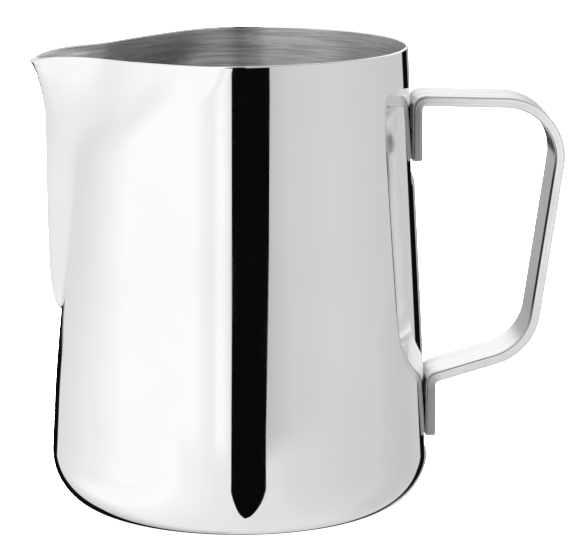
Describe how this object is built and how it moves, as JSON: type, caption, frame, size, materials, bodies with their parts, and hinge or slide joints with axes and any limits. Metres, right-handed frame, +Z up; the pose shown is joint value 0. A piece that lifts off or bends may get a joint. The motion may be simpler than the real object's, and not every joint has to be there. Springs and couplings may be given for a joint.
{
  "type": "milk frothing pitcher",
  "caption": "Polished steel frothing jug that narrows upwards from a rounded heel, with a pressed pouring lip and a bent flat-bar handle welded on at two tabs.",
  "frame": {"origin": "where the jug's own axis meets the flat face it stands on", "axes": "+Z up the jug's axis, +X from the spout towards the handle, +Y to the left of someone who looks from the spout to the handle"},
  "size_m": [0.126, 0.09, 0.11],
  "materials": {
    "polished_steel": "18/8 stainless steel sheet, mirror-polished outside and brushed round the inside",
    "satin_steel": "flat stainless bar, satin-ground along its length with eased edges",
    "weld_metal": "fused resistance-weld metal, dull with a faint straw heat tint"
  },
  "bodies": {
    "root": {"jug_body": "polished_steel", "handle_bar": "satin_steel", "upper_weld_front": "weld_metal", "upper_weld_back": "weld_metal", "lower_weld_front": "weld_metal", "lower_weld_back": "weld_metal"}
  },
  "joints": []
}
